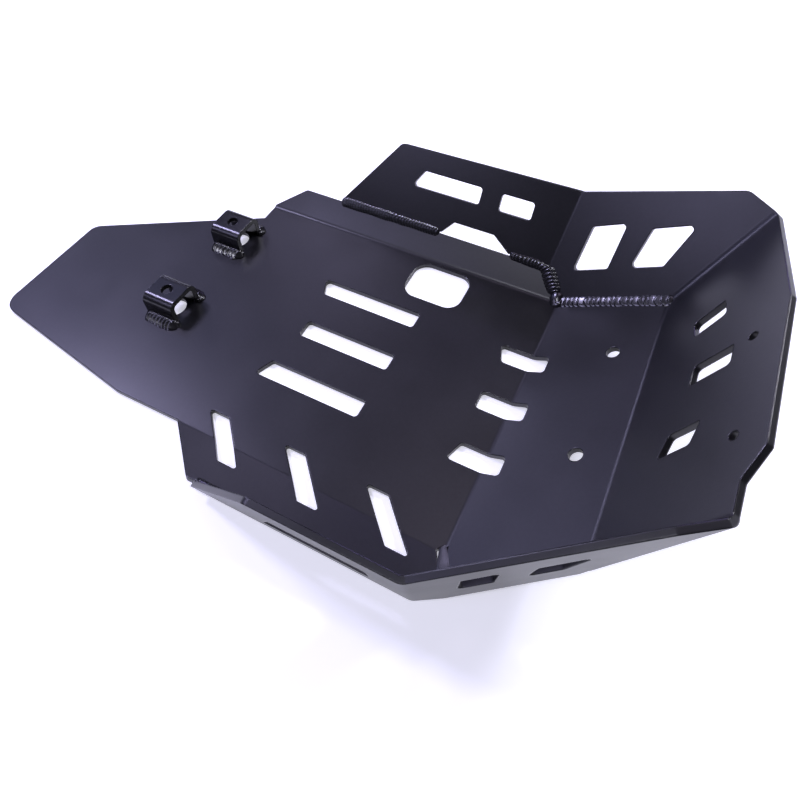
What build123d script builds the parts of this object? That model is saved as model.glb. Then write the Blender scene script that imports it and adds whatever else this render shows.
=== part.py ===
"""Motorcycle skid plate: one folded aluminium sheet with welded wings and two welded mounting brackets.

X points to the front of the motorcycle, Y to its left and Z up. The underside of the flat floor lies on Z = 0.
The sheet is laid out from the point where the ramp's fold crosses the line midway between the side folds,
and every piece is then moved so that the origin is below the middle of the whole plate.
"""
import os
from math import cos, radians, sin, tan

from build123d import *

os.makedirs("parts", exist_ok=True)

# Sheet, folds and seams
sheet = 4.0
bend_radius = 5.0
seam_gap = 1.0
corner_gap = 4.0
slot_corner = 2.5
cut_depth = 5 * sheet

# Floor and tail, seen from above
floor_width = 205.0
tail_length = 383.0
tail_right = 82.0
tail_left = 15.0
tail_right_round = 14.0
tail_left_round = 10.0
right_shoulder_x = -248.0
left_shoulder_x = -255.0
left_shoulder_step = 16.0

# Side flanges: the angle above the floor, and lengths along X and across the flange
left_flange_angle = 41.0
left_flange_width = 22.5
left_flange_rear_cut = 25.0
right_flange_angle = 13.3
right_flange_rear_x = -193.0
right_flange_rear_cut = 34.0
right_flange_width = 31.2
flange_round = 4.0

# Ramp and front plate
ramp_angle = 28.0
ramp_length = 79.5
ramp_right_flare = 24.4
ramp_right_draw = 14.6
front_angle = 60.0
front_top = 95.5
front_top_left = 54.0
front_top_right = 38.3
front_step = 85.0
front_step_right = 54.3
front_right_draw = 29.6
front_left_flare = 34.0
front_left_height = 76.4
front_round = 3.0

# Wings: places of the fold between the two panels of each wing and of the front end of its top edge
wing_fold_x = -9.0
wing_fold_height = 65.3
wing_front_x = 90.0
wing_front_height = 107.0
left_wing_rear_x = -196.0
left_wing_top_rear_x = -154.0
left_wing_top_drop = 1.5
right_wing_fold_x = -5.0
right_wing_fold_height = 65.3
right_wing_front_x = 93.0
right_wing_front_height = 108.5
right_wing_rear_x = -152.0
right_wing_top_rear_x = -92.0
wing_round = 6.0

# Openings in the floor
long_slot_width = 14.0
long_slot_pitch = 41.5
long_slot_front_x = -88.0
long_slot_rear_x = -159.5
long_slot_outer_reach = 4.0
long_slot_slant = 6.0
window_length = 46.0
window_width = 36.0
window_round = 11.0
window_x = -89.0
window_y = 80.0
ramp_slot_rear_x = -21.0
ramp_slot_front = 12.5
ramp_slot_slant = 5.0
side_slot_width = 15.1
side_slot_pitch = 59.7
side_slot_first_x = -52.1
side_slot_inner = 17.0
side_slot_outer = 12.2
side_slot_slant = 28.5
side_slot_corner = 1.2

# Openings in the front plate: height and side of the centre, length, width, lean of the sides, lean of the ends
left_front_slot = (43.0, 64.1, 20.5, 12.4, 8.7, -3.3)
middle_front_slot = (52.8, 23.7, 25.0, 14.0, 5.7, 0.0)
right_front_slot = (42.6, -22.6, 19.6, 14.3, 4.4, 4.0)
front_slot_sharp = 1.0
front_slot_blunt = 3.5
front_hole = 5.5
front_hole_up = 76.8
front_hole_centre = 2.3
front_hole_spacing = 63.0

# Openings in the wings, measured from the seam at the lower edge of each panel
wing_slot_bottom = 30.0
wing_slot_top = 43.5
wing_long_slot = (-138.0, -81.0)
wing_long_slot_slant = 8.0
wing_short_slot = (-65.0, -39.0)
wing_notch = (-105.5, -46.5)
wing_notch_height = 11.5
wing_notch_rear_slant = 9.5
wing_notch_front_slant = 16.0
left_window_bottom = 24.0
left_rear_window = (12.0, 38.5, 30.5, 17.0, 16.0)
left_front_window = (54.0, 77.0, 25.5, 17.0, 23.0)
right_window_bottom = 23.5
right_rear_window = (27.7, 47.6, 21.5, 10.5, 10.5)
right_front_window = (64.2, 82.6, 17.0, 10.5, 20.0)
right_slot = (57.0, 125.0)
right_slot_bottom = 15.0
right_slot_top = 31.0
right_slot_slant = 9.0

# Mounting points: two brackets on the tail and two holes in the ramp
mount_centre_y = 15.0
mount_spacing = 81.0
mount_hole = 9.0
ramp_hole_along = 54.5
bracket_x = -260.5
bracket_length = 26.5
bracket_width = 28.0
bracket_height = 19.5
bracket_bar = 4.0
bracket_bend = 3.0
access_hole = 18.0

# Weld beads
bead_radius = 3.2
bead_depth = 0.8
corner_bead = 4.4
corner_bead_rise = 1.6
bracket_bead = 4.6
bracket_bead_out = 0.9
bracket_bead_sink = 1.2
bracket_bead_overrun = 2.0

half = floor_width / 2


def floor_point(x, y):
    """A point on the floor's upper face."""
    return Vector(x, y, sheet)


def left_flange_point(x, across):
    """A point on the left flange's inner face, a distance across from its fold."""
    angle = radians(left_flange_angle)
    return Vector(x, half + across * cos(angle), sheet + across * sin(angle))


def right_flange_point(x, across):
    """A point on the right flange's inner face, a distance across from its fold."""
    angle = radians(right_flange_angle)
    return Vector(x, -half - across * cos(angle), sheet + across * sin(angle))


def ramp_point(along, y):
    """A point on the ramp's inner face, a distance along from its fold."""
    angle = radians(ramp_angle)
    return Vector(along * cos(angle), y, sheet + along * sin(angle))


def front_point(up, y):
    """A point on the front plate's inner face, a distance up from its fold."""
    angle = radians(front_angle)
    foot = ramp_point(ramp_length, y)
    return foot + Vector(up * cos(angle), 0, up * sin(angle))


def inner_plane(origin, along, third, outside):
    """The plane of an inner face through three points, with its normal towards the outside."""
    normal = (along - origin).cross(third - origin)
    if normal.dot(outside) < 0:
        normal = -normal
    return Plane(origin=origin, x_dir=along - origin, z_dir=normal)


def on_plane(plane, x, height):
    """The point of a plane at a given x and a given height above the floor's upper face."""
    start = Vector(x, 0, sheet + height)
    side = (plane.origin - start).dot(plane.z_dir) / plane.z_dir.Y
    return start + Vector(0, side, 0)


def step_towards(point, target, distance):
    """The point a short distance from one point towards another."""
    return point + (target - point).normalized() * distance


# Corners that several panels share
left_corner = floor_point(0, half)
right_corner = floor_point(0, -half)
ramp_left_top = ramp_point(ramp_length, half)
ramp_right_end = ramp_point(ramp_length, ramp_right_draw - half)
front_left_top = front_point(front_left_height, half + front_left_flare)
front_right_top = front_point(front_step, front_right_draw - half)

# The left wing's front panel closes on the ramp's left edge and on the front plate's left edge
left_front_plane = inner_plane(left_corner, ramp_left_top, front_left_top, Vector(0, 1, 0))
left_wing_fold_top = on_plane(left_front_plane, wing_fold_x, wing_fold_height)
left_wing_front_top = on_plane(left_front_plane, wing_front_x, wing_front_height)
flange_edge = Axis(left_flange_point(0, left_flange_width), (1, 0, 0))
edge_reach = (left_front_plane.origin - flange_edge.position).dot(left_front_plane.z_dir)
left_wing_fold_foot = flange_edge.position + Vector(edge_reach / left_front_plane.z_dir.X, 0, 0)
left_rear_plane = inner_plane(
    flange_edge.position, flange_edge.position + Vector(1, 0, 0), left_wing_fold_top, Vector(0, 1, 0)
)

# The right wing's front panel closes on the ramp's slanted right edge and on the front plate's right edge
ramp_right_foot = ramp_point(0, -half - ramp_right_flare)
right_front_plane = inner_plane(ramp_right_foot, ramp_right_end, front_right_top, Vector(0, -1, 0))
right_wing_fold_top = on_plane(right_front_plane, right_wing_fold_x, right_wing_fold_height)
right_wing_front_top = on_plane(right_front_plane, right_wing_front_x, right_wing_front_height)
flange_rise = tan(radians(right_flange_angle))
corner_run = flange_rise / tan(radians(ramp_angle))
edge_run = (ramp_right_flare + ramp_right_draw) / (ramp_length * cos(radians(ramp_angle)))
corner_out = ramp_right_flare / (1 + corner_run * edge_run)
right_seam_end = right_corner + Vector(corner_run, -1, flange_rise) * corner_out
right_flange_plane = inner_plane(
    right_corner, right_corner - Vector(1, 0, 0), right_flange_point(0, 1), Vector(0, 0, -1)
)
trace = right_front_plane.z_dir.cross(right_flange_plane.z_dir)
right_wing_fold_foot = right_seam_end + trace * ((right_wing_fold_x - right_seam_end.X) / trace.X)
right_wing_rear_foot = right_flange_point(right_wing_rear_x, right_flange_width)
right_rear_plane = inner_plane(
    right_wing_rear_foot, right_wing_fold_foot, right_wing_fold_top, Vector(0, -1, 0)
)

floor_out = Vector(0, 0, -1)
floor_plane = Plane(origin=floor_point(0, 0), x_dir=(1, 0, 0), z_dir=floor_out)
left_flange_plane = inner_plane(
    left_corner, left_corner - Vector(1, 0, 0), left_flange_point(0, 1), floor_out
)
ramp_plane = inner_plane(ramp_point(0, 0), ramp_point(1, 0), ramp_point(0, 1), floor_out)
front_plane = inner_plane(front_point(0, 0), front_point(1, 0), front_point(0, 1), Vector(1, 0, 0))


def in_panel(plane, along, up):
    """A point in a panel's plane, from the plane's origin along its first edge and up from it."""
    rise = plane.y_dir if plane.y_dir.Z > 0 else -plane.y_dir
    return plane.origin + plane.x_dir * along + rise * up


def add_panel(plane, corners, rounded=()):
    """A flat panel: its corners lie on the inner face, and the sheet's thickness goes outward."""
    with BuildSketch(plane) as outline:
        with BuildLine():
            Polyline(*[plane.to_local_coords(corner) for corner in corners], close=True)
        make_face()
        for corner, radius in rounded:
            spot = plane.to_local_coords(corner)
            fillet(outline.vertices().sort_by_distance(spot)[0], radius)
    extrude(outline.sketch, amount=sheet)


def fold_edge(fold, plane):
    """The two ends of a fold on one of its panels, set back to where the bend begins."""
    start, end, first, second = fold
    other = second if plane is first else first
    edge = end - start
    inward = edge.cross(plane.z_dir).normalized()
    if inward.dot(other.z_dir) > 0:
        inward = -inward
    turn = abs(first.z_dir.get_signed_angle(second.z_dir, edge))
    setback = inward * bend_radius * tan(radians(turn / 2))
    return [start + setback, end + setback]


def add_bend(fold):
    """The bent strip of a fold, turned about the centre of its inner radius."""
    first, second = fold[2], fold[3]
    start, end = fold_edge(fold, first)
    edge = end - start
    turn = first.z_dir.get_signed_angle(second.z_dir, edge)
    if turn < 0:
        edge, start, turn = -edge, end, -turn
    with BuildSketch(Plane(origin=start, x_dir=edge, z_dir=edge.cross(first.z_dir))) as strip:
        Rectangle(edge.length, sheet, align=(Align.MIN, Align.MIN))
    centre = start - first.z_dir * bend_radius
    revolve(strip.sketch, axis=Axis(centre, edge), revolution_arc=turn)


def cut_opening(plane, corners, radius, second_radius=None):
    """An opening cut square through the panel that lies in the plane, with two radii in turn if two are given."""
    radii = (radius, second_radius or radius)
    with BuildSketch(plane) as opening:
        with BuildLine():
            Polyline(*[plane.to_local_coords(corner) for corner in corners], close=True)
        make_face()
        for place, corner in enumerate(corners):
            spot = plane.to_local_coords(corner)
            fillet(opening.vertices().sort_by_distance(spot)[0], radii[place % 2])
    extrude(opening.sketch, amount=cut_depth, both=True, mode=Mode.SUBTRACT)


def wing_window(plane, bottom, shape):
    """A leaning window in a wing's front panel: its lower corners, its height and the lean of its two sides."""
    rear, front, height, rear_lean, front_lean = shape
    top = bottom + height
    corners = [
        in_panel(plane, rear, bottom),
        in_panel(plane, front, bottom),
        in_panel(plane, front + front_lean, top),
        in_panel(plane, rear + rear_lean, top),
    ]
    cut_opening(plane, corners, slot_corner)


def front_slot(shape):
    """A leaning slot in the front plate."""
    up, side, length, width, side_lean, end_lean = shape
    corners = []
    for end, edge in ((-0.5, -0.5), (-0.5, 0.5), (0.5, 0.5), (0.5, -0.5)):
        corners.append(front_point(up + end * length + edge * end_lean, side + edge * width + end * side_lean))
    cut_opening(front_plane, corners, front_slot_sharp, front_slot_blunt)


def add_bead(points):
    """A round weld bead along a chain of points."""
    for first, second in zip(points, points[1:]):
        with Locations(Plane(origin=first, z_dir=second - first)):
            Cylinder(bead_radius, (second - first).length, align=(Align.CENTER, Align.CENTER, Align.MIN))
    with Locations(*points):
        Sphere(bead_radius)


def add_corner_bead(*corners):
    """A lump of weld that closes the corners where several folds meet."""
    with Locations(*[corner + Vector(0, 0, corner_bead_rise) for corner in corners]):
        Sphere(corner_bead)


# Folds of the sheet: start, end, and the two panels that meet there
left_wing_fold_start = step_towards(left_wing_fold_foot, left_wing_fold_top, seam_gap)
right_wing_fold_start = step_towards(right_wing_fold_foot, right_wing_fold_top, seam_gap)
left_flange_fold = (
    floor_point(left_shoulder_x, half),
    floor_point(-corner_gap, half),
    floor_plane,
    left_flange_plane,
)
right_flange_fold = (
    floor_point(right_flange_rear_x, -half),
    floor_point(-corner_gap, -half),
    floor_plane,
    right_flange_plane,
)
ramp_fold = (
    floor_point(0, -half + corner_gap),
    floor_point(0, half - corner_gap),
    floor_plane,
    ramp_plane,
)
front_fold = (
    ramp_right_end + Vector(0, corner_gap, 0),
    ramp_point(ramp_length, half - corner_gap),
    ramp_plane,
    front_plane,
)
left_front_fold = (
    step_towards(ramp_left_top, front_left_top, corner_gap),
    front_left_top,
    front_plane,
    left_front_plane,
)
right_front_fold = (
    step_towards(ramp_right_end, front_right_top, corner_gap),
    front_right_top,
    front_plane,
    right_front_plane,
)
left_wing_fold = (left_wing_fold_start, left_wing_fold_top, left_front_plane, left_rear_plane)
right_wing_fold = (right_wing_fold_start, right_wing_fold_top, right_front_plane, right_rear_plane)

# Free corners of the panels
tail_right_corner = floor_point(-tail_length, -tail_right)
tail_left_corner = floor_point(-tail_length, tail_left)
left_flange_rear = left_flange_point(left_shoulder_x + left_flange_rear_cut, left_flange_width)
right_flange_corner = right_flange_point(right_flange_rear_x + right_flange_rear_cut, right_flange_width)
left_wing_top_rear = on_plane(left_rear_plane, left_wing_top_rear_x, wing_fold_height - left_wing_top_drop)
left_wing_rear_low = in_panel(left_rear_plane, left_wing_rear_x, seam_gap)
right_wing_rear_low = in_panel(right_rear_plane, 0, seam_gap)
right_wing_top_rear = on_plane(right_rear_plane, right_wing_top_rear_x, right_wing_fold_height)
front_step_corner = front_point(front_step, -front_step_right)
front_top_corner = front_point(front_top, -front_top_right)
front_peak = front_point(front_top, front_top_left)

with BuildPart() as folded_plate:
    # Flat panels, each on its own plane
    add_panel(
        floor_plane,
        [
            tail_right_corner,
            floor_point(right_shoulder_x, -half),
            *fold_edge(right_flange_fold, floor_plane),
            *fold_edge(ramp_fold, floor_plane),
            *reversed(fold_edge(left_flange_fold, floor_plane)),
            floor_point(left_shoulder_x, half - left_shoulder_step),
            tail_left_corner,
        ],
        [(tail_right_corner, tail_right_round), (tail_left_corner, tail_left_round)],
    )
    add_panel(
        left_flange_plane,
        [
            left_flange_rear,
            left_wing_fold_foot - Vector(2 * seam_gap, 0, 0),
            *reversed(fold_edge(left_flange_fold, left_flange_plane)),
        ],
        [(left_flange_rear, flange_round)],
    )
    add_panel(
        right_flange_plane,
        [
            right_flange_corner,
            right_wing_rear_foot,
            step_towards(right_wing_fold_foot, right_wing_rear_foot, seam_gap),
            step_towards(right_seam_end, right_corner, seam_gap) - Vector(2 * seam_gap, 0, 0),
            *reversed(fold_edge(right_flange_fold, right_flange_plane)),
        ],
        [(right_flange_corner, flange_round)],
    )
    add_panel(
        ramp_plane,
        [
            step_towards(right_corner, right_seam_end, corner_gap),
            step_towards(right_seam_end, right_corner, seam_gap),
            step_towards(ramp_right_end, right_seam_end, corner_gap) + Vector(0, seam_gap, 0),
            *fold_edge(front_fold, ramp_plane),
            ramp_point(ramp_length - corner_gap, half - seam_gap),
            ramp_point(corner_gap, half - seam_gap),
            *reversed(fold_edge(ramp_fold, ramp_plane)),
        ],
    )
    add_panel(
        front_plane,
        [
            *fold_edge(right_front_fold, front_plane),
            front_step_corner,
            front_top_corner,
            front_peak,
            *reversed(fold_edge(left_front_fold, front_plane)),
            *reversed(fold_edge(front_fold, front_plane)),
        ],
        [(front_step_corner, front_round), (front_top_corner, front_round)],
    )
    add_panel(
        left_front_plane,
        [
            left_corner,
            step_towards(ramp_left_top, left_corner, corner_gap),
            *fold_edge(left_front_fold, left_front_plane),
            left_wing_front_top,
            *reversed(fold_edge(left_wing_fold, left_front_plane)),
        ],
        [(left_wing_front_top, wing_round)],
    )
    add_panel(
        left_rear_plane,
        [left_wing_rear_low, *fold_edge(left_wing_fold, left_rear_plane), left_wing_top_rear],
        [(left_wing_top_rear, wing_round)],
    )
    add_panel(
        right_front_plane,
        [
            right_seam_end,
            step_towards(ramp_right_end, right_seam_end, corner_gap),
            *fold_edge(right_front_fold, right_front_plane),
            right_wing_front_top,
            *reversed(fold_edge(right_wing_fold, right_front_plane)),
        ],
        [(right_wing_front_top, wing_round)],
    )
    add_panel(
        right_rear_plane,
        [right_wing_rear_low, *fold_edge(right_wing_fold, right_rear_plane), right_wing_top_rear],
        [(right_wing_top_rear, wing_round)],
    )

    # Bends between the panels
    for fold in (left_flange_fold, right_flange_fold, ramp_fold, front_fold):
        add_bend(fold)
    for fold in (left_front_fold, right_front_fold, left_wing_fold, right_wing_fold):
        add_bend(fold)

    # Three long slots and the drain window in the floor
    for row in (-1, 0, 1):
        y = row * long_slot_pitch
        rear = long_slot_rear_x - abs(row) * long_slot_outer_reach
        rear_right = rear - long_slot_slant * max(-row, 0)
        rear_left = rear - long_slot_slant * max(row, 0)
        cut_opening(
            floor_plane,
            [
                floor_point(rear_right, y - long_slot_width / 2),
                floor_point(long_slot_front_x, y - long_slot_width / 2),
                floor_point(long_slot_front_x, y + long_slot_width / 2),
                floor_point(rear_left, y + long_slot_width / 2),
            ],
            slot_corner,
        )
    with BuildSketch(Plane.XY):
        with Locations((window_x, window_y)):
            RectangleRounded(window_length, window_width, window_round)
    extrude(amount=sheet, mode=Mode.SUBTRACT)

    # Three slots over the ramp's fold, on the rows of the long slots
    for row in (-1, 0, 1):
        y = row * long_slot_pitch
        lean = row * ramp_slot_slant / 2
        ramp_end = ramp_point(ramp_slot_front, y).X
        cut_opening(
            floor_plane,
            [
                floor_point(ramp_slot_rear_x + lean, y - long_slot_width / 2),
                floor_point(ramp_end, y - long_slot_width / 2),
                floor_point(ramp_end, y + long_slot_width / 2),
                floor_point(ramp_slot_rear_x - lean, y + long_slot_width / 2),
            ],
            slot_corner,
        )

    # Three slanted slots over the right side fold
    for place in range(3):
        inner = side_slot_first_x - place * side_slot_pitch
        outer = inner + side_slot_slant
        cut_opening(
            floor_plane,
            [
                floor_point(inner - side_slot_width / 2, -half + side_slot_inner),
                floor_point(inner + side_slot_width / 2, -half + side_slot_inner),
                floor_point(outer + side_slot_width / 2, -half - side_slot_outer),
                floor_point(outer - side_slot_width / 2, -half - side_slot_outer),
            ],
            side_slot_corner,
        )

    # Slots and small holes of the front plate
    for shape in (left_front_slot, middle_front_slot, right_front_slot):
        front_slot(shape)
    for side in (-0.5, 0.5):
        spot = front_point(front_hole_up, front_hole_centre + side * front_hole_spacing)
        with Locations(Plane(origin=spot, z_dir=front_plane.z_dir)):
            Cylinder(front_hole / 2, 4 * sheet, mode=Mode.SUBTRACT)

    # Left wing: a long slot, a short slot, and a notch left open along the seam
    cut_opening(
        left_rear_plane,
        [
            in_panel(left_rear_plane, wing_long_slot[0], wing_slot_bottom),
            in_panel(left_rear_plane, wing_long_slot[1], wing_slot_bottom),
            in_panel(left_rear_plane, wing_long_slot[1], wing_slot_top),
            in_panel(left_rear_plane, wing_long_slot[0] + wing_long_slot_slant, wing_slot_top),
        ],
        slot_corner,
    )
    cut_opening(
        left_rear_plane,
        [
            in_panel(left_rear_plane, wing_short_slot[0], wing_slot_bottom),
            in_panel(left_rear_plane, wing_short_slot[1], wing_slot_bottom),
            in_panel(left_rear_plane, wing_short_slot[1], wing_slot_top),
            in_panel(left_rear_plane, wing_short_slot[0], wing_slot_top),
        ],
        slot_corner,
    )
    notch_corners = [
        in_panel(left_rear_plane, wing_notch[0], 0),
        in_panel(left_rear_plane, wing_notch[1], 0),
        in_panel(left_rear_plane, wing_notch[1] - wing_notch_front_slant, wing_notch_height),
        in_panel(left_rear_plane, wing_notch[0] + wing_notch_rear_slant, wing_notch_height),
    ]
    with BuildSketch(left_rear_plane) as notch:
        with BuildLine():
            Polyline(*[left_rear_plane.to_local_coords(corner) for corner in notch_corners], close=True)
        make_face()
        for corner in notch_corners[2:]:
            fillet(notch.vertices().sort_by_distance(left_rear_plane.to_local_coords(corner))[0], slot_corner)
    extrude(amount=sheet, mode=Mode.SUBTRACT)
    wing_window(left_front_plane, left_window_bottom, left_rear_window)
    wing_window(left_front_plane, left_window_bottom, left_front_window)

    # Right wing: two windows, and a long slot with a slanted rear end
    wing_window(right_front_plane, right_window_bottom, right_rear_window)
    wing_window(right_front_plane, right_window_bottom, right_front_window)
    cut_opening(
        right_rear_plane,
        [
            in_panel(right_rear_plane, right_slot[0], right_slot_bottom),
            in_panel(right_rear_plane, right_slot[1], right_slot_bottom),
            in_panel(right_rear_plane, right_slot[1], right_slot_top),
            in_panel(right_rear_plane, right_slot[0] + right_slot_slant, right_slot_top),
        ],
        slot_corner,
    )

    # Mounting holes in the ramp, and access holes below the brackets
    for side in (-0.5, 0.5):
        y = mount_centre_y + side * mount_spacing
        with Locations(Plane(origin=ramp_point(ramp_hole_along, y), z_dir=ramp_plane.z_dir)):
            Cylinder(mount_hole / 2, 4 * sheet, mode=Mode.SUBTRACT)
        with Locations((bracket_x, y, sheet / 2)):
            Cylinder(access_hole / 2, 2 * sheet, mode=Mode.SUBTRACT)

folded_plate.part.label = "folded_plate"
pieces = [folded_plate.part]

# Inverted U brackets on the tail, with a weld bead along each leg
for name, side in (("right", -0.5), ("left", 0.5)):
    y = mount_centre_y + side * mount_spacing
    inner_width = bracket_width - 2 * bracket_bar
    inner_height = bracket_height - bracket_bar
    with BuildPart() as bracket:
        with BuildSketch(Plane.YZ.offset(bracket_x - bracket_length / 2)) as section:
            with Locations((y, sheet + bracket_height / 2)):
                Rectangle(bracket_width, bracket_height)
            fillet(section.vertices().group_by(Axis.Y)[-1], bracket_bend + bracket_bar)
            with Locations((y, sheet + inner_height / 2)):
                Rectangle(inner_width, inner_height, mode=Mode.SUBTRACT)
            for edge in (-0.5, 0.5):
                spot = (y + edge * inner_width, sheet + inner_height)
                fillet(section.vertices().sort_by_distance(spot)[0], bracket_bend)
        extrude(amount=bracket_length)
        with Locations((bracket_x, y, sheet + bracket_height)):
            Cylinder(mount_hole / 2, 4 * bracket_bar, mode=Mode.SUBTRACT)
    bracket.part.label = f"{name}_mount_bracket"
    pieces.append(bracket.part)

    with BuildPart() as bracket_welds:
        for edge in (-0.5, 0.5):
            out = bracket_width + 2 * bracket_bead_out
            foot = Vector(bracket_x, y + edge * out, sheet - bracket_bead_sink)
            with Locations(Plane(origin=foot, z_dir=(1, 0, 0))):
                Cylinder(bracket_bead, bracket_length + 2 * bracket_bead_overrun)
        split(bisect_by=Plane.XY.offset(sheet), keep=Keep.TOP)
        add(bracket.part, mode=Mode.SUBTRACT)
    bracket_welds.part.label = f"{name}_bracket_welds"
    pieces.append(bracket_welds.part)

# Weld beads along the seams of the wings
left_sink = left_front_plane.z_dir * bead_depth
right_sink = right_front_plane.z_dir * bead_depth
with BuildPart() as left_wing_welds:
    add_bead(
        [
            in_panel(left_rear_plane, left_wing_rear_x, 0) + left_sink,
            in_panel(left_rear_plane, wing_notch[0], 0) + left_sink,
        ]
    )
    add_bead(
        [
            in_panel(left_rear_plane, wing_notch[1], 0) + left_sink,
            left_wing_fold_foot + left_sink,
            left_corner + left_sink,
            ramp_left_top + left_sink,
        ]
    )
    add_corner_bead(left_corner, ramp_left_top)
    add(folded_plate.part, mode=Mode.SUBTRACT)
left_wing_welds.part.label = "left_wing_welds"
pieces.append(left_wing_welds.part)

with BuildPart() as right_wing_welds:
    add_bead(
        [
            right_wing_rear_foot + right_sink,
            right_wing_fold_foot + right_sink,
            right_seam_end + right_sink,
            ramp_right_end + right_sink,
        ]
    )
    add_bead([right_corner + floor_out * bead_depth, right_seam_end + right_sink])
    add_corner_bead(right_corner, ramp_right_end)
    add(folded_plate.part, mode=Mode.SUBTRACT)
right_wing_welds.part.label = "right_wing_welds"
pieces.append(right_wing_welds.part)

# The origin goes below the middle of the plate, level with its underside
whole = folded_plate.part.bounding_box()
to_origin = Location((-whole.center().X, -whole.center().Y, -whole.min.Z))
print("moved by", to_origin.position)
for piece in pieces:
    piece.move(to_origin)
    export_step(piece, f"parts/{piece.label}.step")
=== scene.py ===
# %% [markdown]
# # A motorcycle skid plate
#
# The real part is one aluminium sheet, cut, folded and welded, with a satin black powder coat over
# everything. The folded sheet and the two brackets come from the CAD model as they are. This script gives
# them their coat, lays weld beads with ripples along the seams, and sets the floor, the light and the
# camera.

import math

import bmesh
import bpy
import numpy as np
from mathutils import Matrix, Vector


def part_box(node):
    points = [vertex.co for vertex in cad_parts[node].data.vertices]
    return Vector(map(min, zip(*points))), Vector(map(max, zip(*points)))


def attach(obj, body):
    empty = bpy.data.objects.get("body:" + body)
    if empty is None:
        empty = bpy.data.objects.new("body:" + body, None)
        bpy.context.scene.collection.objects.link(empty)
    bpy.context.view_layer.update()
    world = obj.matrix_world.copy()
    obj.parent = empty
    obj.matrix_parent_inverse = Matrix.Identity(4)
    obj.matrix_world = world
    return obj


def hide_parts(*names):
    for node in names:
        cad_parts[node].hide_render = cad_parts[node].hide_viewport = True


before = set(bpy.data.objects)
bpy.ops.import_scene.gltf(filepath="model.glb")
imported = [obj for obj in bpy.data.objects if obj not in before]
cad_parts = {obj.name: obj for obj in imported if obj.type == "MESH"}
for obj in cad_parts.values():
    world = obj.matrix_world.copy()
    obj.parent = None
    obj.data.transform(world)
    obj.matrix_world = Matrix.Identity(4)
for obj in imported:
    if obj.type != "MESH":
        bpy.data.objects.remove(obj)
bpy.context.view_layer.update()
print("nodes:", sorted(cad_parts))


# %% [markdown]
# ## Small helpers for node trees
#
# Every finish here is made of shader nodes. Three short helpers keep the lists of nodes readable: one
# adds a node and sets its values, one joins two sockets, and one makes an empty group with named sockets.

# %% Node helpers
def add_node(tree, kind, values=None, **settings):
    """Adds a node, sets its settings, and sets the inputs named in values."""
    node = tree.nodes.new(kind)
    for name, value in settings.items():
        setattr(node, name, value)
    for name, value in (values or {}).items():
        node.inputs[name].default_value = value
    return node


def join(tree, source, target):
    """Joins an output socket to an input socket."""
    tree.links.new(source, target)


def new_group(name, inputs, outputs):
    """Makes an empty shader node group with named sockets."""
    group = bpy.data.node_groups.new(name, "ShaderNodeTree")
    for label, kind, value in inputs:
        socket = group.interface.new_socket(label, in_out="INPUT", socket_type=kind)
        socket.default_value = value
    for label, kind in outputs:
        group.interface.new_socket(label, in_out="OUTPUT", socket_type=kind)
    return group


print("helpers ready")

# %% [markdown]
# ## The coat as a node group
#
# Powder coat is sprayed as dust and melted in an oven. It flows into a skin with a very shallow orange
# peel, and it is never quite even: some patches are a little glossier than others. A painted image could
# show that, but noise in object coordinates needs no unwrapping and stays sharp at any distance. The
# sheet, the brackets and the welds all went through the same oven, so the effect is one node group with
# its own values in each material. It gives out a colour, a roughness and a height.

# %% Powder coat group
coat_group = new_group(
    "powder coat",
    [
        ("Colour", "NodeSocketColor", (0.0062, 0.006, 0.0068, 1.0)),
        ("Roughness", "NodeSocketFloat", 0.34),
        ("Peel Size", "NodeSocketFloat", 900.0),
        ("Cloud Size", "NodeSocketFloat", 14.0),
    ],
    [("Colour", "NodeSocketColor"), ("Roughness", "NodeSocketFloat"), ("Height", "NodeSocketFloat")],
)
group_in = add_node(coat_group, "NodeGroupInput")
group_out = add_node(coat_group, "NodeGroupOutput")
position = add_node(coat_group, "ShaderNodeTexCoord")

peel = add_node(coat_group, "ShaderNodeTexNoise", {"Detail": 2.0, "Roughness": 0.5})
join(coat_group, position.outputs["Object"], peel.inputs["Vector"])
join(coat_group, group_in.outputs["Peel Size"], peel.inputs["Scale"])
join(coat_group, peel.outputs["Fac"], group_out.inputs["Height"])

clouds = add_node(coat_group, "ShaderNodeTexNoise", {"Detail": 4.0, "Roughness": 0.55})
join(coat_group, position.outputs["Object"], clouds.inputs["Vector"])
join(coat_group, group_in.outputs["Cloud Size"], clouds.inputs["Scale"])
gloss_range = add_node(
    coat_group,
    "ShaderNodeMapRange",
    {"From Min": 0.3, "From Max": 0.7, "To Min": -0.04, "To Max": 0.04},
)
join(coat_group, clouds.outputs["Fac"], gloss_range.inputs["Value"])
cloudy_gloss = add_node(coat_group, "ShaderNodeMath", operation="ADD", use_clamp=True)
join(coat_group, group_in.outputs["Roughness"], cloudy_gloss.inputs[0])
join(coat_group, gloss_range.outputs["Result"], cloudy_gloss.inputs[1])
join(coat_group, cloudy_gloss.outputs["Value"], group_out.inputs["Roughness"])

specks = add_node(coat_group, "ShaderNodeTexNoise", {"Scale": 420.0, "Detail": 3.0, "Roughness": 0.7})
join(coat_group, position.outputs["Object"], specks.inputs["Vector"])
speck_range = add_node(
    coat_group,
    "ShaderNodeMapRange",
    {"From Min": 0.35, "From Max": 0.75, "To Min": 0.8, "To Max": 1.35},
)
join(coat_group, specks.outputs["Fac"], speck_range.inputs["Value"])
tint = add_node(coat_group, "ShaderNodeVectorMath", operation="SCALE")
join(coat_group, group_in.outputs["Colour"], tint.inputs[0])
join(coat_group, speck_range.outputs["Result"], tint.inputs["Scale"])
join(coat_group, tint.outputs["Vector"], group_out.inputs["Colour"])
print("group:", coat_group.name, len(coat_group.nodes), "nodes")


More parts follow.
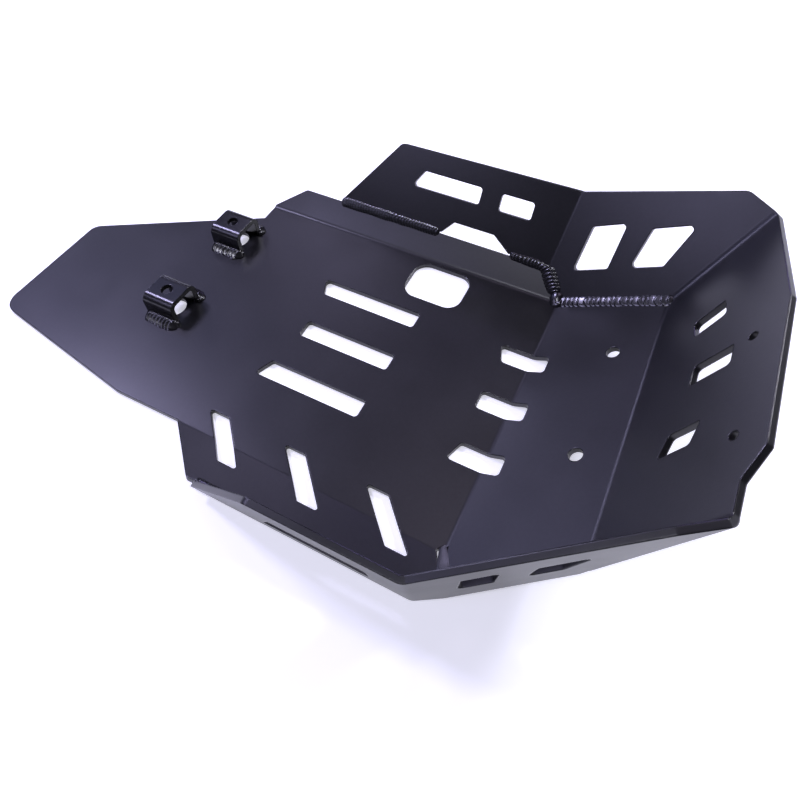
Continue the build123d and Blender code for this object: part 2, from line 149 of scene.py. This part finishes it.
# %% [markdown]
# ## Satin black for the sheet and the brackets
#
# The coat rounds every cut edge a little, and those edges catch the light as thin bright lines. Bevelling
# the mesh would do it too, but the CAD mesh stays as it is, so a Bevel node gives the shader that
# rounding of about a millimetre, and the orange peel is a bump on top of it. Where the rounded normal
# turns away from the mesh's own, the molten coat was pulled thin and smooth, so the roughness falls
# there.

# %% Coat materials
def round_edges(tree, coat, bump, radius):
    """Rounds the normals below the bump, and returns the coat's roughness with those edges polished."""
    rounding = add_node(tree, "ShaderNodeBevel", {"Radius": radius}, samples=6)
    surface = add_node(tree, "ShaderNodeNewGeometry")
    turn = add_node(tree, "ShaderNodeVectorMath", operation="DOT_PRODUCT")
    join(tree, rounding.outputs["Normal"], turn.inputs[0])
    join(tree, surface.outputs["Normal"], turn.inputs[1])
    polish = add_node(
        tree,
        "ShaderNodeMapRange",
        {"From Min": 0.85, "From Max": 0.99, "To Min": 0.4, "To Max": 1.0},
    )
    join(tree, turn.outputs["Value"], polish.inputs["Value"])
    gloss = add_node(tree, "ShaderNodeMath", operation="MULTIPLY")
    join(tree, coat.outputs["Roughness"], gloss.inputs[0])
    join(tree, polish.outputs["Result"], gloss.inputs[1])
    join(tree, rounding.outputs["Normal"], bump.inputs["Normal"])
    return gloss.outputs["Value"]


def coat_material(name, specular, roughness, peel_size, peel_height, cloud_size, edge_round=None):
    """The satin black coat with its peel as a bump, and with rounded edges where a radius is given."""
    material = bpy.data.materials.new(name)
    material.use_nodes = True
    tree = material.node_tree
    shader = tree.nodes["Principled BSDF"]
    shader.inputs["Specular IOR Level"].default_value = specular
    coat = add_node(
        tree,
        "ShaderNodeGroup",
        {"Roughness": roughness, "Peel Size": peel_size, "Cloud Size": cloud_size},
        node_tree=coat_group,
    )
    bump = add_node(tree, "ShaderNodeBump", {"Strength": 1.0, "Distance": peel_height})
    gloss = coat.outputs["Roughness"]
    if edge_round:
        gloss = round_edges(tree, coat, bump, edge_round)
    join(tree, coat.outputs["Colour"], shader.inputs["Base Color"])
    join(tree, gloss, shader.inputs["Roughness"])
    join(tree, coat.outputs["Height"], bump.inputs["Height"])
    join(tree, bump.outputs["Normal"], shader.inputs["Normal"])
    print("material:", material.name)
    return material


sheet_coat = coat_material(
    "satin black sheet",
    specular=0.5,
    roughness=0.34,
    peel_size=900.0,
    peel_height=0.00002,
    cloud_size=14.0,
    edge_round=0.0013,
)
bracket_coat = coat_material(
    "satin black bracket",
    specular=0.5,
    roughness=0.24,
    peel_size=900.0,
    peel_height=0.00002,
    cloud_size=40.0,
    edge_round=0.0007,
)
for node, material in (
    ("folded_plate", sheet_coat),
    ("left_mount_bracket", bracket_coat),
    ("right_mount_bracket", bracket_coat),
):
    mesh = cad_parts[node].data
    mesh.materials.clear()
    mesh.materials.append(material)
    print(node, "has", material.name)

# %% [markdown]
# ## Weld beads
#
# A hand-laid bead looks like a row of coins pushed over: each puddle froze behind the torch as a curved
# ripple. A bump texture on a plain tube could show the ripples, but its outline would stay straight and
# its highlights flat, so here the ripples are in the mesh. The coat is the same as on the sheet, a little
# glossier and with a coarser peel. The mesh is round by itself, so it needs no Bevel node.

# %% Weld material
weld_coat = coat_material(
    "black coat on weld",
    specular=0.75,
    roughness=0.23,
    peel_size=700.0,
    peel_height=0.00004,
    cloud_size=120.0,
)


# %% [markdown]
# ### Stations along a seam
#
# A seam is written as a chain of corners. Each has a place and two legs, which reach from the seam's root
# over the two panels beside it. The chain is cut into close, even stations. A few passes of averaging
# then soften its corners, because a torch can't turn on the spot. All these lengths are in millimetres.

# %% Stations of a seam
MM = 0.001
SPACING = 0.3  # between two stations
SOFTENING = 8  # passes of averaging


def station(place, lower, lower_leg, wing, wing_leg):
    """A place on a seam and its two legs."""
    return (np.array(place), lower_leg * np.array(lower), wing_leg * np.array(wing))


def seam_stations(chain):
    """Even stations along a chain of corners, each with its place and two legs, with the corners softened."""
    corners = np.array([np.concatenate(corner) for corner in chain], dtype=float)
    points = []
    for first, second in zip(corners, corners[1:]):
        count = max(2, int(np.linalg.norm(second[:3] - first[:3]) / SPACING))
        for step in range(count):
            points.append(first + (second - first) * step / count)
    points.append(corners[-1])
    points = np.array(points)
    for _ in range(SOFTENING):
        points[1:-1] = 0.25 * points[:-2] + 0.5 * points[1:-1] + 0.25 * points[2:]
    return points[:, :3], points[:, 3:6], points[:, 6:]


print("stations every", SPACING, "mm")


# %% [markdown]
# ### One ring of a bead
#
# At each station the bead has a low rounded crown between the ends of its legs, and a round back that
# fills the gap behind the seam. The crown goes up and down along the seam in short steps. The steps lag
# at the bead's sides, so that each ripple bends into a crescent.

# %% Ring of a bead
ACROSS = 15  # points over the crown
BEHIND = 7  # points round the back
RING = ACROSS + BEHIND
BACK_ARC = 150  # degrees
CRESCENT = 0.55  # lag of a ripple at the sides, in half widths
STEP_RISE = 0.1  # share of a ripple in which its step goes up
STEP_FALL = 1.4  # exponent of the slope down from the step
SPILL = 0.1  # widening of the bead for each millimetre of step
HOLLOW = 1.1  # exponent that draws the crown in towards the root
TOE_LIFT = 0.08  # height of the toes above the panels


def bead_ring(place, legs, side, out, pitch, coin, step_height, bulge, wide, taper, depth):
    """The points of one station: over the crown from leg to leg, then round the back."""
    half = 0.5 * np.linalg.norm(legs[1] - legs[0])
    points = []
    for step in range(ACROSS):
        across = 2 * step / (ACROSS - 1) - 1
        phase = (coin - CRESCENT * half / pitch * across * across) % 1.0
        ledge = step_height * (1 - phase) ** STEP_FALL * min(1.0, phase / STEP_RISE)
        reach = wide * taper * (1 + SPILL * ledge)
        share = 0.5 + 0.5 * across
        foot = legs[0] * (1 - share) ** HOLLOW + legs[1] * share**HOLLOW
        rise = TOE_LIFT + bulge * (1 - across * across) + ledge * (1 - across**4)
        points.append(tuple((place + foot * reach + out * rise * taper) * MM))
    for step in range(BEHIND):
        angle = math.radians(BACK_ARC / 2 - BACK_ARC * step / (BEHIND - 1))
        back = side * math.sin(angle) - out * math.cos(angle)
        points.append(tuple((place + back * depth * taper) * MM))
    return points


print(RING, "points in a ring")


# %% [markdown]
# ### A whole bead
#
# The rings of a run are joined to a closed skin. A hand is never quite even, so the pace and the width
# wander a little along the run, and each run ends in a round nose. The toes, where the bead meets the
# panels, are marked as sharp edges. Otherwise smooth shading would pull the crown's normals round to the
# back.

# %% Bead in a corner
KNOT_SPACING = 5  # between two changes of pace and width
LEAST_KNOTS = 4
PACE_WANDER = 0.16  # in ripples
WIDTH_WANDER = 0.05  # as a share of the width
NOSE_LEAST = 0.02  # keeps the last ring from closing to a point


def bead_skin(first, count):
    """The faces between the rings of one run, and its two ends."""
    faces = []
    for row in range(count - 1):
        for turn in range(RING):
            a = first + row * RING + turn
            b = first + row * RING + (turn + 1) % RING
            faces.append((a, b, b + RING, a + RING))
    faces.append(tuple(first + turn for turn in reversed(range(RING))))
    faces.append(tuple(first + (count - 1) * RING + turn for turn in range(RING)))
    return faces


def sharpen_toes(mesh):
    """Turns the faces outwards and marks the two lines of toes as sharp edges."""
    shape = bmesh.new()
    shape.from_mesh(mesh)
    bmesh.ops.recalc_face_normals(shape, faces=shape.faces)
    for edge in shape.edges:
        turns = {vert.index % RING for vert in edge.verts}
        edge.smooth = turns not in ({0}, {ACROSS - 1})
    shape.to_mesh(mesh)
    shape.free()


def bead_mesh(name, runs, crown, depth, seed):
    """One mesh with a closed, rippled bead along each run, whose crown faces about the given direction."""
    rng = np.random.default_rng(seed)
    verts = []
    faces = []
    for chain, pitch, step_height, bulge in runs:
        places, legs_a, legs_b = seam_stations(chain)
        headings = np.gradient(places, axis=0)
        headings /= np.linalg.norm(headings, axis=1)[:, None]
        along = np.concatenate([[0.0], np.cumsum(np.linalg.norm(np.diff(places, axis=0), axis=1))])
        knots = max(LEAST_KNOTS, int(along[-1] / KNOT_SPACING))
        evenly = np.linspace(0, along[-1], knots)
        coins = along / pitch + np.interp(along, evenly, rng.normal(0, PACE_WANDER, knots))
        swell = 1 + np.interp(along, evenly, rng.normal(0, WIDTH_WANDER, knots))
        faces += bead_skin(len(verts), len(places))
        for place, leg_a, leg_b, heading, run, coin, wide in zip(
            places, legs_a, legs_b, headings, along, coins, swell
        ):
            half = 0.5 * np.linalg.norm(leg_b - leg_a)
            end = min(run, along[-1] - run) / half
            taper = math.sqrt(max(NOSE_LEAST, 1 - max(0.0, 1 - end) ** 2))
            side = (leg_b - leg_a) / (2 * half)
            out = np.cross(heading, side)
            out /= np.linalg.norm(out)
            if np.dot(out, crown) < 0:
                out = -out
            legs = (leg_a, leg_b)
            verts += bead_ring(place, legs, side, out, pitch, coin, step_height, bulge, wide, taper, depth)
    mesh = bpy.data.meshes.new(name)
    mesh.from_pydata(verts, [], faces)
    mesh.shade_smooth()
    mesh.materials.append(weld_coat)
    sharpen_toes(mesh)
    piece = bpy.data.objects.new(name, mesh)
    bpy.context.collection.objects.link(piece)
    print(name, len(verts), "points,", len(faces), "faces")
    return piece


print("beads can be laid")

# %% [markdown]
# ### Seam of the left wing
#
# Each wing is folded from the front plate and closed by a bead along its lower edge: on the flange behind
# the fold, then down the short corner and up the ramp's edge. The directions below run from the seam
# along the panels beside it. Each run of the torch has its stations, the pitch of its ripples, the height
# of their steps and its crown's height. The short corner is filled with a fat bead and a smooth lump.

# %% Left wing's welds
NO_RIPPLES = (30.0, 0.0)  # a pitch without steps

flange = (0.0, -0.76, -0.65)
rear_wing = (0.0, 0.55, 0.84)
corner_flange = (-0.83, -0.44, -0.35)
corner_floor = (-0.45, -0.88, -0.15)
corner_wing = (0.75, 0.12, 0.65)
ramp = (0.0, -1.0, 0.0)
front_wing = (-0.37, 0.61, 0.7)
left_rear = [
    station((-65.2, 113.8, 18.8), flange, 4.2, rear_wing, 4.2),
    station((25.3, 113.8, 18.8), flange, 3.6, rear_wing, 3.6),
]
left_corner = [
    station((84.3, 113.8, 18.8), flange, 2.6, rear_wing, 2.8),
    station((106.0, 113.8, 18.8), flange, 3.6, rear_wing, 3.6),
    station((115.5, 113.0, 18.1), corner_flange, 5.6, corner_wing, 5.2),
    station((127.5, 100.6, 7.2), corner_flange, 5.6, corner_wing, 5.6),
]
left_lump = [
    station((125.6, 102.7, 9.0), corner_flange, 5.2, corner_wing, 5.2),
    station((130.0, 97.6, 4.6), corner_floor, 7.0, corner_wing, 5.4),
    station((135.4, 96.6, 6.2), ramp, 5.2, front_wing, 4.6),
]
left_ramp = [
    station((131.6, 97.0, 4.4), ramp, 4.2, front_wing, 4.2),
    station((205.5, 97.2, 43.7), ramp, 4.2, front_wing, 4.4),
]
left_bead = bead_mesh(
    "left_wing_bead",
    [
        (left_rear, 2.5, 0.5, 0.5),
        (left_corner, 2.8, 0.55, 0.8),
        (left_lump, *NO_RIPPLES, 1.6),
        (left_ramp, 3.9, 0.6, 0.6),
    ],
    crown=(0.0, -0.7, 0.8),
    depth=3.4,
    seed=3,
)

# %% [markdown]
# ### Seam of the right wing
#
# The right wing hides its own seam from the camera. It is laid as one run along the flange and up the
# ramp, after the model of the left one, and a smooth bead fills the fold that leads from the floor to its
# corner.

# %% Right wing's welds
near_flange = (0.0, 0.97, -0.23)
near_rear_wing = (0.0, -0.08, 1.0)
near_ramp = (-0.39, 0.9, -0.21)
near_front_wing = (-0.33, -0.27, 0.9)
fold_rear = (-0.92, -0.37, 0.13)
fold_front = (0.79, 0.44, 0.42)
right_seam = [
    station((-21.2, -139.2, 11.2), near_flange, 3.4, near_rear_wing, 3.4),
    station((125.8, -137.6, 10.8), near_flange, 3.4, near_rear_wing, 3.4),
    station((139.5, -128.4, 8.6), near_ramp, 3.6, near_front_wing, 3.6),
    station((204.6, -92.2, 43.2), near_ramp, 3.8, near_front_wing, 3.8),
]
right_fold = [
    station((128.0, -102.6, 2.6), fold_rear, 2.0, fold_front, 2.0),
    station((132.4, -112.4, 4.8), fold_rear, 3.2, fold_front, 3.2),
    station((139.0, -127.2, 8.4), fold_rear, 4.4, fold_front, 4.4),
]
right_bead = bead_mesh(
    "right_wing_bead",
    [(right_seam, 3.2, 0.4, 1.1), (right_fold, *NO_RIPPLES, 0.2)],
    crown=(-0.2, 0.7, 0.8),
    depth=2.9,
    seed=5,
)
for piece, node in ((left_bead, "left_wing_welds"), (right_bead, "right_wing_welds")):
    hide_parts(node)
    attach(piece, "root")

# %% [markdown]
# ### Beads at the brackets
#
# Each leg of a bracket has one wide bead along its foot, and the bead curls round the leg's front end.
# Both brackets are alike, so one loop measures each of them and lays its two beads.

# %% Bracket welds
BRACKET_RIPPLES = (3.1, 0.9, 0.5)  # pitch, height of the steps, height of the crown
FIRST_BRACKET_SEED = 11

leg_up = (0.0, 0.0, 1.0)
forward = (1.0, 0.0, 0.0)
for order, name in enumerate(("left", "right")):
    low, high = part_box(f"{name}_mount_bracket")
    rear = low[0] / MM
    front = high[0] / MM
    foot = low[2] / MM
    for edge, out, label in ((low[1] / MM, -1, "near"), (high[1] / MM, 1, "far")):
        outward = (0.0, out, 0.0)
        slantwise = (0.7, 0.7 * out, 0.0)
        run = [
            station((rear - 0.8, edge, foot), outward, 5.6, leg_up, 3.8),
            station((rear + 3.0, edge, foot), outward, 6.8, leg_up, 4.6),
            station((front - 1.5, edge, foot), outward, 6.8, leg_up, 4.6),
            station((front, edge - out * 0.5, foot), slantwise, 5.0, leg_up, 3.8),
            station((front, edge - out * 3.6, foot), forward, 3.2, leg_up, 3.0),
        ]
        bead = bead_mesh(
            f"{name}_bracket_bead_{label}",
            [(run, *BRACKET_RIPPLES)],
            crown=(0.4, out, 0.8),
            depth=1.2,
            seed=FIRST_BRACKET_SEED + order,
        )
        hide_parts(f"{name}_bracket_welds")
        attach(bead, "root")

# %% [markdown]
# ## Floor
#
# The plate lies on white paper. The floor is a pale diffuse plane that keeps the shadow. Stronger lamps
# could make it white, but they would also light the plate. So it gives out a little light of its own,
# only for the rays that see it: straight from the camera, mirrored in the coat, or passed on through
# something clear.

# %% Floor
REACH = 6.0
DROP = 0.0005
PAPER_GLOW = 0.55

floor_mesh = bpy.data.meshes.new("floor")
floor_mesh.from_pydata(
    [(-REACH, -REACH, 0), (REACH, -REACH, 0), (REACH, REACH, 0), (-REACH, REACH, 0)],
    [],
    [(0, 1, 2, 3)],
)
floor = bpy.data.objects.new("floor", floor_mesh)
floor.location.z = -DROP
bpy.context.collection.objects.link(floor)
paper = bpy.data.materials.new("white paper")
paper.use_nodes = True
paper_tree = paper.node_tree
paper_shader = paper_tree.nodes["Principled BSDF"]
paper_shader.inputs["Base Color"].default_value = (0.86, 0.86, 0.88, 1.0)
paper_shader.inputs["Roughness"].default_value = 0.9
paper_shader.inputs["Specular IOR Level"].default_value = 0.1
paper_shader.inputs["Emission Color"].default_value = (0.9, 0.9, 1.0, 1.0)
ray = add_node(paper_tree, "ShaderNodeLightPath")
seeing = ray.outputs["Is Camera Ray"]
for kind in ("Is Glossy Ray", "Is Transmission Ray"):
    either = add_node(paper_tree, "ShaderNodeMath", operation="MAXIMUM")
    join(paper_tree, seeing, either.inputs[0])
    join(paper_tree, ray.outputs[kind], either.inputs[1])
    seeing = either.outputs["Value"]
glow = add_node(paper_tree, "ShaderNodeMath", {1: PAPER_GLOW}, operation="MULTIPLY")
join(paper_tree, seeing, glow.inputs[0])
join(paper_tree, glow.outputs["Value"], paper_shader.inputs["Emission Strength"])
floor_mesh.materials.append(paper)
print("floor", 2 * REACH, "m wide")


# %% [markdown]
# ## Light
#
# A satin coat shows its surroundings as soft patches. A picture of a room as the world would give some,
# but not where they belong, so each lamp is placed where one panel of the plate mirrors it towards the
# camera. A small key lamp high behind the tail brightens the tail's near edge, and wide windows to the
# rear and to the far side give the tail, the ramp and the near flange their gradients. The far flange
# mirrors a window to the camera's left. Two strong lamps do the rest: the one in front lights the paper
# and throws the soft shadow, and the small one above the camera draws the highlights on the edges and the
# welds. The rest of the room is dark, so the far wing stays nearly black. Strengths and tints were fitted
# to the tones of the panels.

# %% Light
LAMP_DISTANCE = 2.0
LAMP_AIM = Vector((0.0, 0.0, 0.04))


def soft_lamp(name, azimuth, elevation, size, radiance, colour):
    """A rectangular area lamp that faces the plate, with its radiance given instead of its power."""
    turn = math.radians(azimuth)
    rise = math.radians(elevation)
    heading = Vector((math.cos(rise) * math.cos(turn), math.cos(rise) * math.sin(turn), math.sin(rise)))
    place = LAMP_AIM + LAMP_DISTANCE * heading
    lamp = bpy.data.lights.new(name, "AREA")
    lamp.shape = "RECTANGLE"
    lamp.size, lamp.size_y = size
    lamp.energy = math.pi * size[0] * size[1] * radiance
    lamp.color = colour
    item = bpy.data.objects.new(name, lamp)
    item.location = place
    item.rotation_euler = (LAMP_AIM - place).to_track_quat("-Z", "Y").to_euler()
    bpy.context.collection.objects.link(item)
    print(name, round(lamp.energy, 1), "W")


soft_lamp("key behind the tail", 176, 52, (0.3, 0.3), 73.0, (0.65, 0.61, 1.0))
soft_lamp("low window behind the tail", 176, 28, (0.9, 0.5), 0.8, (0.3, 0.32, 1.0))
soft_lamp("window behind the tail", 158, 46, (0.8, 0.6), 0.9, (0.46, 0.5, 1.0))
soft_lamp("window on the far side", 127, 42, (0.5, 0.4), 4.0, (0.67, 0.62, 1.0))
soft_lamp("low strip on the far side", 150, 12, (1.0, 0.3), 12.0, (0.63, 0.61, 1.0))
soft_lamp("far lamp", 100, 28, (0.45, 0.45), 9.4, (0.48, 0.4, 1.0))
soft_lamp("ceiling", 90, 76, (0.6, 0.6), 2.3, (0.82, 0.71, 1.0))
soft_lamp("window left of the camera", 233, 39, (0.8, 0.5), 6.6, (0.63, 0.6, 1.0))
soft_lamp("lamp in front", 52, 40, (0.5, 0.5), 40.0, (0.86, 0.86, 1.0))
soft_lamp("lamp above the camera", 262, 64, (0.2, 0.2), 60.0, (0.85, 0.85, 1.0))
world = bpy.data.worlds.new("room")
bpy.context.scene.world = world
world.use_nodes = True
backdrop = world.node_tree.nodes["Background"]
backdrop.inputs["Color"].default_value = (0.8, 0.8, 1.0, 1.0)
backdrop.inputs["Strength"].default_value = 0.06
print("world strength", round(backdrop.inputs["Strength"].default_value, 2))

# %% [markdown]
# ## Camera
#
# The photograph looks down on the plate from its right side with a wide lens. A constraint could aim the
# camera at the plate, but the photograph is also rolled a little, so the camera's axes are set directly.
# A small vertical shift puts the lens axis above the middle of the picture.

# %% Camera
eye = Vector((0.1764, -0.2263, 0.3741))
right = Vector((0.8897, 0.4555, -0.0313))
up = Vector((-0.3293, 0.6877, 0.6471))
back = right.cross(up)
camera_data = bpy.data.cameras.new("camera")
camera_data.sensor_width = 36.0
camera_data.lens = 28.82
camera_data.shift_y = -0.125
camera = bpy.data.objects.new("camera", camera_data)
camera.matrix_world = Matrix.Translation(eye) @ Matrix((right, up, back)).transposed().to_4x4()
bpy.context.collection.objects.link(camera)
bpy.context.scene.camera = camera
bpy.context.scene.view_settings.view_transform = "Standard"
print("camera at", tuple(round(v, 3) for v in eye))
